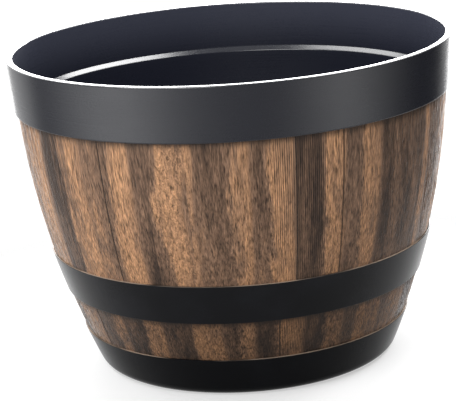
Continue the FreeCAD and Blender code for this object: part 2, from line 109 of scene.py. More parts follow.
class PlanterSizes(bpy.types.PropertyGroup):
    """Sizes that the frame's boxes do not give, and the relief of the wood look."""

    rim_diameter: bpy.props.FloatProperty(
        name="Rim Diameter", description="Width across the lip", default=0.390, unit="LENGTH")
    rim_overhang: bpy.props.FloatProperty(
        name="Rim Overhang", description="How far the lip stands out past the staves",
        default=0.0045, unit="LENGTH")
    foot_diameter: bpy.props.FloatProperty(
        name="Foot Diameter", description="Width across the staves at the ground",
        default=0.260, unit="LENGTH")
    lip_rounding: bpy.props.FloatProperty(
        name="Lip Rounding", description="Radius of the lip's rounded edges", default=0.0012, unit="LENGTH")
    ledge_height: bpy.props.FloatProperty(
        name="Ledge Height", description="Height of the ledge inside the rim",
        default=0.2378, unit="LENGTH")
    sleeve_thickness: bpy.props.FloatProperty(
        name="Sleeve Thickness", description="Thickness of a stave sleeve",
        default=0.0022, unit="LENGTH")
    lap_thickness: bpy.props.FloatProperty(
        name="Lap Thickness", description="Thickness of the tongue that tucks behind a band",
        default=0.001, unit="LENGTH")
    stave_count: bpy.props.IntProperty(
        name="Staves", description="Staves round the barrel", default=28, min=2)
    columns_per_stave: bpy.props.IntProperty(
        name="Columns per Stave", description="Mesh columns across one stave", default=80, min=4)
    groove_width: bpy.props.FloatProperty(
        name="Groove Width", description="Width of the groove between two staves",
        default=0.0014, unit="LENGTH")
    groove_depth: bpy.props.FloatProperty(
        name="Groove Depth", description="Depth of the groove between two staves",
        default=0.0006, unit="LENGTH")
    filled_depth: bpy.props.FloatProperty(
        name="Filled Depth", description="Depth of a groove that the finish has nearly filled",
        default=0.00025, unit="LENGTH")
    grain_relief: bpy.props.FloatProperty(
        name="Grain Relief", description="Depth of the embossed grain", default=0.00032, unit="LENGTH")
    hewn_relief: bpy.props.FloatProperty(
        name="Hewn Relief", description="Depth of the rough lumps on the side staves",
        default=0.0012, unit="LENGTH")
    upper_turn: bpy.props.FloatProperty(
        name="Upper Turn", description="Turn of the upper staves", default=math.radians(2),
        subtype="ANGLE")
    lower_turn: bpy.props.FloatProperty(
        name="Lower Turn", description="Turn of the lower staves", default=math.radians(-3),
        subtype="ANGLE")
    upper_rows: bpy.props.IntProperty(
        name="Upper Rows", description="Mesh rows down the upper staves", default=34, min=2)
    lower_rows: bpy.props.IntProperty(
        name="Lower Rows", description="Mesh rows down the lower staves", default=16, min=2)


class PlanterColours(bpy.types.PropertyGroup):
    """Colours of the wood look, the resin and the rubber."""

    wood_pale: bpy.props.FloatVectorProperty(
        name="Pale Wood", description="Palest grain", default=(0.485, 0.262, 0.138), subtype="COLOR")
    wood_mid: bpy.props.FloatVectorProperty(
        name="Middle Wood", description="Middle grain", default=(0.220, 0.131, 0.084), subtype="COLOR")
    wood_dark: bpy.props.FloatVectorProperty(
        name="Dark Wood", description="Dark grain", default=(0.052, 0.033, 0.024), subtype="COLOR")
    # Painted shade: the whole lower row is drawn darker, as staves that lean down would look in less light
    lower_painted_shade: bpy.props.FloatProperty(
        name="Lower Shade", description="How dark the lower staves are beside the upper ones",
        default=0.72, min=0, max=1, subtype="FACTOR")
    wood_pore: bpy.props.FloatVectorProperty(
        name="Wood Pore", description="Pores and grooves", default=(0.030, 0.022, 0.018), subtype="COLOR")
    pot_resin: bpy.props.FloatVectorProperty(
        name="Pot Resin", description="Black resin of the pot", default=(0.0110, 0.0120, 0.0185),
        subtype="COLOR")
    # Inside the pot: painted light makes the resin paler towards the lip, and painted shade darker deep
    # down
    lit_inner_resin: bpy.props.FloatVectorProperty(
        name="Inner Resin", description="Black resin inside the lip", default=(0.0520, 0.0565, 0.0810),
        subtype="COLOR")
    shaded_deep_resin: bpy.props.FloatVectorProperty(
        name="Deep Resin", description="Black resin from the ledge down inside the pot",
        default=(0.0130, 0.0145, 0.0240), subtype="COLOR")
    band_resin: bpy.props.FloatVectorProperty(
        name="Band Resin", description="Black resin of the hoop and the base band",
        default=(0.0045, 0.0048, 0.0062), subtype="COLOR")
    resin_dusty: bpy.props.FloatVectorProperty(
        name="Dusty Resin", description="Handled and dusty resin", default=(0.016, 0.017, 0.022),
        subtype="COLOR")
    ledge_wash: bpy.props.FloatVectorProperty(
        name="Ledge Wash", description="Wood wash caught on a band's top edge",
        default=(0.34, 0.26, 0.20), subtype="COLOR")
    rubber: bpy.props.FloatVectorProperty(
        name="Rubber", description="Drain plug rubber", default=(0.020, 0.020, 0.021), subtype="COLOR")


class PlanterStudio(bpy.types.PropertyGroup):
    """Camera and light."""

    rim_distance: bpy.props.FloatProperty(
        name="Rim Distance", description="Camera's distance from the middle of the rim",
        default=1.7405, unit="LENGTH")
    rim_elevation: bpy.props.FloatProperty(
        name="Rim Elevation", description="Camera's height above the rim, as an angle",
        default=math.radians(10.504), subtype="ANGLE")
    pan: bpy.props.FloatProperty(
        name="Pan", description="Turn of the camera to the right", default=math.radians(-0.333),
        subtype="ANGLE")
    tilt: bpy.props.FloatProperty(
        name="Tilt", description="Downward tilt of the camera", default=math.radians(15.146),
        subtype="ANGLE")
    roll: bpy.props.FloatProperty(
        name="Roll", description="Roll of the camera about its line of sight",
        default=math.radians(-3.927), subtype="ANGLE")
    lens: bpy.props.FloatProperty(
        name="Lens", description="Focal length on a 36 mm sensor", default=156.2, subtype="DISTANCE_CAMERA")
    room_level: bpy.props.FloatProperty(
        name="Room Level", description="Brightness of the room round the set", default=0.22, min=0)
    key_level: bpy.props.FloatProperty(
        name="Key Level", description="Brightness of the front left softbox", default=5.2, min=0)
    left_level: bpy.props.FloatProperty(
        name="Left Level", description="Brightness of the left softbox", default=3.9, min=0)
    right_level: bpy.props.FloatProperty(
        name="Right Level", description="Brightness of the right softbox", default=8.0, min=0)
    top_level: bpy.props.FloatProperty(
        name="Top Level", description="Brightness of the overhead softbox", default=2.4, min=0)
    back_level: bpy.props.FloatProperty(
        name="Back Level", description="Brightness of the strip behind", default=8.0, min=0)
    left_rim_level: bpy.props.FloatProperty(
        name="Left Rim Level", description="Brightness of the strip behind at the left", default=2.1, min=0)
    right_rim_level: bpy.props.FloatProperty(
        name="Right Rim Level", description="Brightness of the strip behind at the right",
        default=5.6, min=0)


class Wire:
    """An output socket that takes part in Python arithmetic: each step adds a Math node."""

    def __init__(self, graph, socket):
        self.graph = graph
        self.socket = socket

    def math(self, operation, *others):
        operands = dict(enumerate((self, *others)))
        return self.graph.add("ShaderNodeMath", {"operation": operation}, operands)

    def reflected(self, operation, other):
        return self.graph.add("ShaderNodeMath", {"operation": operation}, {0: other, 1: self})

    def __add__(self, other):
        return self.math("ADD", other)

    def __radd__(self, other):
        return self.reflected("ADD", other)

    def __sub__(self, other):
        return self.math("SUBTRACT", other)

    def __rsub__(self, other):
        return self.reflected("SUBTRACT", other)

    def __mul__(self, other):
        return self.math("MULTIPLY", other)

    def __rmul__(self, other):
        return self.reflected("MULTIPLY", other)

    def __truediv__(self, other):
        return self.math("DIVIDE", other)

    def __rtruediv__(self, other):
        return self.reflected("DIVIDE", other)

    def __neg__(self):
        return self.math("MULTIPLY", -1.0)

    def __gt__(self, other):
        return self.math("GREATER_THAN", other)

    def __lt__(self, other):
        return self.math("LESS_THAN", other)

    def __abs__(self):
        return self.math("ABSOLUTE")


class Graph:
    """A node tree with one way to add a node and a few short forms for common ones."""

    def __init__(self, tree):
        self.tree = tree

    def add(self, kind, settings=None, inputs=None, output=0):
        node = self.tree.nodes.new(kind)
        for name, setting in (settings or {}).items():
            if name == "stops":
                self.set_stops(node.color_ramp, setting)
            else:
                setattr(node, name, setting)
        for key, given in (inputs or {}).items():
            if isinstance(given, Wire):
                self.tree.links.new(given.socket, node.inputs[key])
            else:
                node.inputs[key].default_value = given
        return Wire(self, node.outputs[output]) if node.outputs else node

    @staticmethod
    def set_stops(ramp, stops):
        while len(ramp.elements) > 1:
            ramp.elements.remove(ramp.elements[-1])
        for number, (position, colour) in enumerate(stops):
            element = ramp.elements.new(position) if number else ramp.elements[0]
            element.position = position
            element.color = (*colour, 1.0)

    def outputs(self, kind):
        """All outputs of a new node, by their names."""
        node = self.add(kind).socket.node
        return {socket.name: Wire(self, socket) for socket in node.outputs}

    def ramp(self, factor, stops):
        return self.add("ShaderNodeValToRGB", {"stops": stops}, {0: factor})

    def split(self, vector):
        first = self.add("ShaderNodeSeparateXYZ", inputs={0: vector})
        return [Wire(self, socket) for socket in first.socket.node.outputs]

    def join(self, x, y, z):
        return self.add("ShaderNodeCombineXYZ", inputs={0: x, 1: y, 2: z})

    def noise(self, vector, scale, detail=2.0, roughness=0.5, distortion=0.0):
        inputs = {"Vector": vector, "Scale": scale, "Detail": detail, "Roughness": roughness,
                  "Distortion": distortion}
        return self.add("ShaderNodeTexNoise", inputs=inputs)

    def smooth(self, value, low, high):
        """Rises from 0 to 1 between two values."""
        settings = {"interpolation_type": "SMOOTHSTEP", "clamp": True}
        return self.add("ShaderNodeMapRange", settings, {0: value, 1: low, 2: high, 3: 0.0, 4: 1.0})

    def mix(self, factor, first, second):
        """Mixes two colours. A Mix node numbers its colour sockets 6 and 7 going in and 2 coming out."""
        settings = {"data_type": "RGBA", "clamp_factor": True}
        first, second = (c if isinstance(c, Wire) else (*c, 1.0) for c in (first, second))
        return self.add("ShaderNodeMix", settings, {0: factor, 6: first, 7: second}, 2)


# Stave figure, which the embossed relief and the printed colour share

FULL_TURN = 2 * math.pi
HALF_TURN = math.pi
NOISE_MIDDLE = 0.5

# Noises that make up the grain: their scale, and how far they are drawn out along a stave
BROAD = {"scale": 60, "stretch": 14, "detail": 2, "roughness": 0.5}
STREAKS = {"scale": 240, "stretch": 40, "detail": 3, "roughness": 0.6}
FLECKS = {"scale": 860, "stretch": 8, "detail": 2, "roughness": 0.6}
THREADS = {"scale": 900, "stretch": 34, "detail": 2, "roughness": 0.6}
PEBBLES = {"scale": 400, "stretch": 1.7, "detail": 2, "roughness": 0.55, "distortion": 1.2}
PORES = {"scale": 620, "stretch": 6, "detail": 1, "roughness": 0.5}
LUMPS = {"scale": 260, "stretch": 3, "detail": 2, "roughness": 0.5}

# Shift of the noises from stave to stave, share of flecks and of threads in the fine grain, and the values
# of their noise at which pores begin and are full
STAVE_SHIFT = 0.37
FINE_SHARE = 0.7
PORE_EDGE = (0.60, 0.70)

# Straight lines in the grain: where they lie, how many make a full turn, and how far they wander
STRAIGHT_START, STRAIGHT_END = math.radians(8.8), math.radians(22.8)
STRAIGHT_LINES = 648
LINE_WANDER = 4

# A swirl in the grain: where it lies, how its edges fade, and the hump by which it pushes the stripe beside
# it aside, with the hump's height up the pot, its reach and where it begins
SWIRL_START, SWIRL_END = math.radians(-20), math.radians(-13)
SWIRL_START_FADE, SWIRL_END_FADE = 0.01, 0.04
SWIRL_BULGE = math.radians(3.2)
SWIRL_HEIGHT = 0.178
SWIRL_REACH = 0.036
BULGE_START, BULGE_FULL = SWIRL_START - 0.12, SWIRL_START - 0.04

# Rough staves at the sides: angles where the roughness begins and is full, and the lump that is left uncut
HEWN_GRAIN = (math.radians(54), math.radians(66))
HEWN_TOP = 0.75

# What each figure adds to the embossed relief
STREAK_RELIEF, FINE_RELIEF, PORE_RELIEF = 0.7, 0.9, 0.25
LINE_RELIEF, PEBBLE_RELIEF = 0.5, 0.7


def swing(noise):
    """How far a noise stands from its middle."""
    return noise - NOISE_MIDDLE


def bell(off):
    """A bell curve, which is 1 in its middle and falls off to both sides."""
    return (-(off * off)).math("EXPONENT")


def from_axis(x, y):
    """Distance from the pot's axis."""
    return (x * x + y * y).math("SQRT")


class StaveFigure:
    """Wires that say, at a place on the barrel, which stave it is and how its fibres run."""

    def __init__(self, graph, place, turn, count, clear_joints):
        self.graph = graph
        self.x, self.y, self.z = graph.split(place)
        azimuth = self.x.math("ARCTAN2", -self.y)
        pitch = FULL_TURN / count
        across = (azimuth - turn) / pitch
        self.stave = across.math("FLOOR").math("WRAP", count, 0)
        self.from_joint = (0.5 - abs(across.math("FRACT") - 0.5)) * pitch
        joint = (across + 0.5).math("FLOOR").math("WRAP", count / 2, 0)
        self.clear = sum((abs(joint - number) < 0.5 for number in clear_joints), 0.0)
        half = azimuth.math("WRAP", HALF_TURN / 2, -HALF_TURN / 2)
        hump = bell((self.z - SWIRL_HEIGHT) / SWIRL_REACH) * SWIRL_BULGE
        self.half = half + hump * graph.smooth(half, BULGE_START, BULGE_FULL) * (half < SWIRL_END)
        self.streaks = self.fibres(**STREAKS)
        self.fine = self.fine_grain()
        self.straight = (self.half > STRAIGHT_START) * (self.half < STRAIGHT_END)
        self.lines = (azimuth * STRAIGHT_LINES + self.streaks * LINE_WANDER).math("SINE") * 0.5 + 0.5
        past_swirl = graph.smooth(self.half, SWIRL_END, SWIRL_END + SWIRL_END_FADE)
        in_swirl = graph.smooth(self.half, SWIRL_START, SWIRL_START + SWIRL_START_FADE)
        self.swirl = in_swirl * (1 - past_swirl)
        self.pebbles = self.fibres(**PEBBLES)
        self.pores = graph.smooth(self.fibres(**PORES), *PORE_EDGE)
        self.hewn = graph.smooth(abs(self.half), *HEWN_GRAIN)
        self.lumps = self.fibres(**LUMPS)

    def fibres(self, scale, stretch, **settings):
        """Noise drawn out along the staves, different in each stave."""
        along = self.z / stretch + self.stave * STAVE_SHIFT
        return self.graph.noise(self.graph.join(self.x, self.y, along), scale, **settings)

    def fine_grain(self):
        """Short flecks and long threads together, about the same middle as either."""
        extra = (2 * FINE_SHARE - 1) * NOISE_MIDDLE
        return self.fibres(**FLECKS) * FINE_SHARE + self.fibres(**THREADS) * FINE_SHARE - extra

    def relief(self):
        """Height of the embossed grain, from about 0 to 1, without the grooves."""
        extra = (STREAK_RELIEF + FINE_RELIEF - 1) * NOISE_MIDDLE
        plain = self.streaks * STREAK_RELIEF + self.fine * FINE_RELIEF - extra
        lined = plain * (1 - LINE_RELIEF) + self.lines * LINE_RELIEF
        pebbled = plain * (1 - PEBBLE_RELIEF) + self.pebbles * PEBBLE_RELIEF
        grain = plain * (1 - self.straight) + lined * self.straight
        grain = grain * (1 - self.swirl) + pebbled * self.swirl
        return grain - self.pores * PORE_RELIEF


# Barrel shape

def barrel_arc(sizes):
    """Radius of the arc that the stave face follows, and its centre's distance past the axis."""
    belly = sizes.rim_diameter / 2 - sizes.rim_overhang
    sag = belly - sizes.foot_diameter / 2
    arc = (POT_HEIGHT ** 2 + sag ** 2) / (2 * sag)
    return arc, arc - belly


def barrel_radius(sizes, depth, height):
    """Radius of the barrel at a height, on a face that lies a depth under the stave face."""
    arc, offset = barrel_arc(sizes)
    return math.sqrt((arc - depth) ** 2 - (POT_HEIGHT - height) ** 2) - offset


def barrel_run(sizes, depth, start, end, count):
    """Points of an outline along one barrel face, from one height to another."""
    heights = [start + (end - start) * step / (count - 1) for step in range(count)]
    return [(barrel_radius(sizes, depth, height), height) for height in heights]


# Materials

# Distance in metres and strength of each bump, and index of refraction of each finish
WOOD_BUMP, RESIN_BUMP, RUBBER_BUMP = (0.0008, 0.8), (0.0002, 0.16), (0.0003, 0.3)
WOOD_IOR, POT_IOR, HOOP_IOR, BASE_IOR, RUBBER_IOR = 1.24, 1.45, 1.19, 1.13, 1.5
COAT_ROUGHNESS, COAT_IOR = 0.20, 1.9
WOOD_SHEEN, SHEEN_ROUGHNESS = 0.3, 0.3
WOOD_ROUGHNESS, POT_ROUGHNESS, BAND_ROUGHNESS, RUBBER_ROUGHNESS = 0.48, 0.28, 0.22, 0.72

# How far the grain frays a stripe's edge, and how much it lightens and darkens the wood
STREAK_FRAY, FINE_FRAY = math.radians(3), math.radians(1.6)
BROAD_SHADE, STREAK_SHADE = 1.2, 0.9
MIDDLE_SHADE = 0.55
STRAIGHT_CALM, SWIRL_CALM = 0.4, 0.6
PEBBLE_CONTRAST = 2.6
DARKEST_GRAIN = 0.2

# How much pore colour lies in pores, in grooves, by their angle from the joint, and under the band above,
# where it is painted shade cast by the band's overhang
PORE_COVER = 0.4
FILLED_COVER, CLEAR_COVER = 0.15, 0.70
GROOVE_EDGE = (0.001, 0.006)
UNDER_BAND_SHADE_COVER, UNDER_BAND_SHADE_REACH = 0.65, 0.007

# What each figure adds to the wood's roughness and to its bump
FINE_ROUGH, PORE_ROUGH, HEWN_SHINE = 0.4, 0.15, 0.2
FINE_BUMP, STREAK_BUMP, PORE_BUMP, LUMP_BUMP = 0.7, 0.4, 0.3, 2.5

# Resin: noise scales, squeeze of the drawn lines, dust, and what each noise adds to roughness and bump
CLOUD_SCALE, DRAWN_SCALE, SPECKLE_SCALE = 16, 620, 1500
DRAWN_SQUEEZE = 0.02
DUST_SPECKLE, DUST_EDGE, DUST_COVER = 0.5, (0.45, 0.75), 0.5
CLOUD_ROUGH, DRAWN_ROUGH, SPECKLE_ROUGH = 0.12, 0.05, 0.1
SPECKLE_BUMP, DRAWN_BUMP = 0.85, 0.15

# Pot: heights past the ledge where its polish starts, is full, starts to fade and is gone, the depth under
# the ledge where the painted shade inside is darkest, and a line inside the wall that parts its inner
# face from its outer
LEDGE_POLISH = (-0.0022, -0.0010, 0.0022, 0.0032)
SHADE_DROP_UNDER_LEDGE = 0.010
WALL_EDGE = (0.163, 0.165)
WALL_SLANT = 0.1

# Wood wash on a band's top edge: its depth, and the patches in which it was caught
WASH_DEPTH, WASH_FULL_DEPTH = 0.0006, 0.0002
WASH_SCALE, WASH_EDGE = 14, (0.38, 0.60)

# Rubber: noise scales, and the pale bloom on it
RUBBER_CLOUD_SCALE, RUBBER_SPECKLE_SCALE = 90, 1900
BLOOM_EDGE, BLOOM_COVER, BLOOM_ROUGH = (0.42, 0.68), 0.6, 0.25


def new_material(name):
    """An empty material and its node graph."""
    material = bpy.data.materials.new(name)
    material.use_nodes = True
    material.node_tree.nodes.clear()
    return material, Graph(material.node_tree)


def finish_material(graph, colour, roughness, height, bump, ior, coat=0.0, sheen=0.0):
    """Joins the worked-out colour, roughness and height to one surface shader."""
    distance, strength = bump
    normal = graph.add("ShaderNodeBump", inputs={
        "Height": height, "Distance": distance, "Strength": strength})
    surface = graph.add("ShaderNodeBsdfPrincipled", inputs={
        "Base Color": colour, "Roughness": roughness, "Normal": normal, "IOR": ior,
        "Coat Weight": coat, "Coat Roughness": COAT_ROUGHNESS, "Coat IOR": COAT_IOR,
        "Sheen Weight": sheen, "Sheen Roughness": SHEEN_ROUGHNESS})
    graph.add("ShaderNodeOutputMaterial", inputs={"Surface": surface})


def stripe_tone(graph, half, row):
    """Tone of the wood from 0 to 1: the row's own, except in its dark stripes."""
    tone = row.tone
    for middle, width, depth in row.stripes:
        off = abs(half - math.radians(middle))
        reach = math.radians(width) / 2
        inside = 1 - graph.smooth(off, reach - STRIPE_EDGE, reach + STRIPE_EDGE)
        tone = tone * (1 - inside * depth)
    return tone


def stave_shade(graph, figure, row):
    """How pale the wood is, from its frayed stripes and its broad and narrow streaks."""
    broad = figure.fibres(**BROAD)
    frayed = figure.half + swing(figure.streaks) * STREAK_FRAY + swing(figure.fine) * FINE_FRAY
    tone = stripe_tone(graph, frayed, row)
    return tone + swing(broad) * BROAD_SHADE + swing(figure.streaks) * STREAK_SHADE


def grain_strength(figure, contrast):
    """What the fine grain, the straight lines and the swirl's pebbles multiply the colour by."""
    plain = swing(figure.fine) * contrast
    plain = plain * (1 - figure.straight * STRAIGHT_CALM) * (1 - figure.swirl * SWIRL_CALM)
    lined = swing(figure.lines) * figure.straight
    pebbled = swing(figure.pebbles) * figure.swirl * PEBBLE_CONTRAST
    return (1 + plain + lined + pebbled).math("MAXIMUM", DARKEST_GRAIN)


def wood_material(row, turn, row_painted_shade, sizes, colours):
    """The wood look of one row of staves."""
    material, graph = new_material(f"wood_look_{row.name}")
    place = graph.add("ShaderNodeTexCoord", output="Object")
    figure = StaveFigure(graph, place, turn, sizes.stave_count, row.clear_joints)
    stops = [(0.0, colours.wood_dark), (MIDDLE_SHADE, colours.wood_mid), (1.0, colours.wood_pale)]
    stripe = graph.ramp(stave_shade(graph, figure, row), stops)
    # The row's painted shade scales its whole colour down
    strength = grain_strength(figure, row.grain_contrast) * row_painted_shade
    colour = graph.add("ShaderNodeVectorMath", {"operation": "SCALE"}, {0: stripe, "Scale": strength})
    colour = graph.mix(figure.pores * PORE_COVER, colour, colours.wood_pore)
    groove = 1 - graph.smooth(figure.from_joint, *GROOVE_EDGE)
    colour = graph.mix(groove * (FILLED_COVER + figure.clear * CLEAR_COVER), colour, colours.wood_pore)
    # Painted shade: the wood darkens just under the band above, as if in the shadow of its overhang
    painted_shade_under_band = graph.smooth(figure.z, row.top - UNDER_BAND_SHADE_REACH, row.top)
    colour = graph.mix(painted_shade_under_band * UNDER_BAND_SHADE_COVER, colour, colours.wood_pore)
    roughness = WOOD_ROUGHNESS + swing(figure.fine) * FINE_ROUGH + figure.pores * PORE_ROUGH
    roughness = roughness - figure.hewn * HEWN_SHINE
    height = figure.fine * FINE_BUMP + figure.streaks * STREAK_BUMP - figure.pores * PORE_BUMP
    height = height + figure.lumps * figure.hewn * LUMP_BUMP
    finish_material(graph, colour, roughness, height, WOOD_BUMP, WOOD_IOR, sheen=WOOD_SHEEN)
    return material


class Resin:
    """Wires for satin black resin, which each piece then finishes in its own way."""

    def __init__(self, name, colour, dusty, roughness):
        self.material, self.graph = new_material(name)
        graph = self.graph
        self.place = graph.add("ShaderNodeTexCoord", output="Object")
        self.x, self.y, self.z = graph.split(self.place)
        clouds = graph.noise(self.place, CLOUD_SCALE, detail=3, roughness=0.55)
        squeezed = graph.join(self.x * DRAWN_SQUEEZE, self.y * DRAWN_SQUEEZE, self.z)
        drawn = graph.noise(squeezed, DRAWN_SCALE, detail=3, roughness=0.6)
        speckle = graph.noise(self.place, SPECKLE_SCALE, detail=1, roughness=0.5)
        dust = graph.smooth(clouds + swing(speckle) * DUST_SPECKLE, *DUST_EDGE)
        self.tint = graph.mix(dust * DUST_COVER, colour, dusty)
        self.roughness = roughness + swing(clouds) * CLOUD_ROUGH + swing(drawn) * DRAWN_ROUGH
        self.roughness = self.roughness + swing(speckle) * SPECKLE_ROUGH
        self.height = speckle * SPECKLE_BUMP + drawn * DRAWN_BUMP

    def finish(self, ior, coat=0.0):
        finish_material(self.graph, self.tint, self.roughness, self.height, RESIN_BUMP, ior, coat)
        return self.material


def pot_material(sizes, colours):
    """Satin resin, polished on the lip and on the ledge inside.

    Inside, it is drawn paler and bluer towards the lip as painted light, and darker deep down as painted
    shade.
    """
    resin = Resin("pot_resin", colours.pot_resin, colours.resin_dusty, POT_ROUGHNESS)
    graph = resin.graph
    lip = graph.smooth(resin.z, POT_HEIGHT - sizes.lip_rounding, POT_HEIGHT - sizes.lip_rounding / 2)
    starts, full, fades, gone = (sizes.ledge_height + step for step in LEDGE_POLISH)
    near_ledge = graph.smooth(resin.z, starts, full) * (1 - graph.smooth(resin.z, fades, gone))
    inside = 1 - graph.smooth(from_axis(resin.x, resin.y) - resin.z * WALL_SLANT, *WALL_EDGE)
    # Painted light and shade: the inner wall fades from a dark copy of the resin under the ledge to a pale
    # one at the lip
    lighter_upward = graph.smooth(resin.z, sizes.ledge_height - SHADE_DROP_UNDER_LEDGE, POT_HEIGHT)
    inner_light_and_shade = graph.mix(lighter_upward, colours.shaded_deep_resin, colours.lit_inner_resin)
    resin.tint = graph.mix(inside, resin.tint, inner_light_and_shade)
    return resin.finish(POT_IOR, lip.math("MAXIMUM", near_ledge * inside))


def band_material(name, top, ior, colours):
    """Dull resin whose top edge has caught some of the wood wash."""
    resin = Resin(name, colours.band_resin, colours.resin_dusty, BAND_ROUGHNESS)
    graph = resin.graph
    caught = graph.smooth(resin.z, top - WASH_DEPTH, top - WASH_FULL_DEPTH)
    broken = graph.smooth(graph.noise(resin.place, WASH_SCALE, detail=3), *WASH_EDGE)
    resin.tint = graph.mix(caught * broken, resin.tint, colours.ledge_wash)
    return resin.finish(ior)


def rubber_material(colours):
    """Matt rubber with a pale bloom."""
    material, graph = new_material("plug_rubber")
    place = graph.add("ShaderNodeTexCoord", output="Object")
    clouds = graph.noise(place, RUBBER_CLOUD_SCALE, detail=3, roughness=0.6)
    speckle = graph.noise(place, RUBBER_SPECKLE_SCALE, detail=1)
    bloom = graph.smooth(clouds, *BLOOM_EDGE)
    colour = graph.mix(bloom * BLOOM_COVER, colours.rubber, colours.resin_dusty)
    roughness = RUBBER_ROUGHNESS + swing(clouds) * BLOOM_ROUGH
    height = speckle * 0.5 + clouds * 0.5
    finish_material(graph, colour, roughness, height, RUBBER_BUMP, RUBBER_IOR)
    return material


# Pieces

# Angle past which an edge is shaded sharp
SHARP_ANGLE = math.radians(60)

# Inputs of a sleeve's tree and their kinds of socket
SLEEVE_INPUTS = {
    "Path Radius": "Float", "Columns": "Int", "Staves": "Int", "Turn": "Float", "Groove Width": "Float",
    "Groove Depth": "Float", "Filled Depth": "Float", "Grain Relief": "Float", "Hewn Relief": "Float",
    "Material": "Material",
}


def dress_node(node, material):
    """Gives a frame node a new material."""
    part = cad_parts[node]
    part.data.materials.clear()
    part.data.materials.append(material)


def stave_offset(graph, given, clear_joints):
    """How a point of the ring moves inward, to cut the grooves, the grain and the rough lumps."""
    place = graph.add("GeometryNodeInputPosition")
    figure = StaveFigure(graph, place, given["Turn"], given["Staves"], clear_joints)
    radius = from_axis(figure.x, figure.y)
    from_joint = figure.from_joint * radius
    groove = 1 - (from_joint / (given["Groove Width"] / 2)).math("MINIMUM", 1.0)
    depth = given["Filled Depth"] + (given["Groove Depth"] - given["Filled Depth"]) * figure.clear
    grain = (1 - figure.relief()) * given["Grain Relief"]
    hollow = (HEWN_TOP - figure.lumps).math("MAXIMUM", 0.0)
    sunk = (depth * groove).math("MAXIMUM", grain) + hollow * figure.hewn * given["Hewn Relief"]
    face = graph.add("GeometryNodeInputNamedAttribute", {"data_type": "FLOAT"}, {"Name": "stave_face"})
    inward = sunk * face / radius
    return graph.join(-(figure.x * inward), -(figure.y * inward), 0.0)


def sleeve_tree(name, clear_joints):
    """Geometry nodes that turn a sleeve's outline round the axis and emboss staves on its face."""
    tree = bpy.data.node_groups.new(name, "GeometryNodeTree")
    tree.interface.new_socket("Geometry", in_out="INPUT", socket_type="NodeSocketGeometry")
    for label, kind in SLEEVE_INPUTS.items():
        tree.interface.new_socket(label, in_out="INPUT", socket_type=f"NodeSocket{kind}")
    tree.interface.new_socket("Geometry", in_out="OUTPUT", socket_type="NodeSocketGeometry")
    graph = Graph(tree)
    given = graph.outputs("NodeGroupInput")
    profile = graph.add("GeometryNodeMeshToCurve", inputs={0: given["Geometry"]})
    path = graph.add("GeometryNodeCurvePrimitiveCircle", inputs={
        "Resolution": given["Columns"], "Radius": given["Path Radius"]})
    ring = graph.add("GeometryNodeCurveToMesh", inputs={"Curve": path, "Profile Curve": profile})
    turn = graph.join(0.0, 0.0, given["Turn"])
    ring = graph.add("GeometryNodeTransform", inputs={"Geometry": ring, "Rotation": turn})
    offset = stave_offset(graph, given, clear_joints)
    ring = graph.add("GeometryNodeSetPosition", inputs={"Geometry": ring, "Offset": offset})
    ring = graph.add("GeometryNodeSetShadeSmooth", inputs={"Geometry": ring, "Shade Smooth": True})
    ring = graph.add("GeometryNodeRealizeInstances", inputs={0: ring})
    ring = graph.add("GeometryNodeSetMaterial", inputs={"Geometry": ring, "Material": given["Material"]})
    graph.add("NodeGroupOutput", inputs={0: ring})
    return tree


def outline_mesh(name, points, face_flags, path_radius):
    """A closed loop of edges. The tree lays X along the radius and -Y up the height."""
    mesh = bpy.data.meshes.new(name)
    count = len(points)
    edges = [(step, (step + 1) % count) for step in range(count)]
    mesh.from_pydata([(radius - path_radius, -height, 0.0) for radius, height in points], edges, [])
    faces = mesh.attributes.new("stave_face", "FLOAT", "POINT")
    faces.data.foreach_set("value", face_flags)
    return mesh


def sleeve_outline(sizes, row, face_rows):
    """The sleeve's outline, up its back and down its face, and which points lie on the face."""
    lap = sizes.sleeve_thickness - sizes.lap_thickness
    back = barrel_run(sizes, sizes.sleeve_thickness, row.tongue_foot, row.tongue_top, row.back_rows)
    above = [(barrel_radius(sizes, lap, height), height) for height in (row.tongue_top, row.top)]
    face = barrel_run(sizes, 0.0, row.top, row.foot, face_rows)
    below = [(barrel_radius(sizes, lap, height), height) for height in (row.foot, row.tongue_foot)]
    flags = [0.0] * len(back + above) + [1.0] * len(face) + [0.0] * len(below)
    return back + above + face + below, flags


def plain_mesh(piece):
    """Turns an object with a tree on it into a plain mesh object."""
    depsgraph = bpy.context.evaluated_depsgraph_get()
    mesh = bpy.data.meshes.new_from_object(piece.evaluated_get(depsgraph))
    piece.modifiers.clear()
    piece.data = mesh
    mesh.name = piece.name


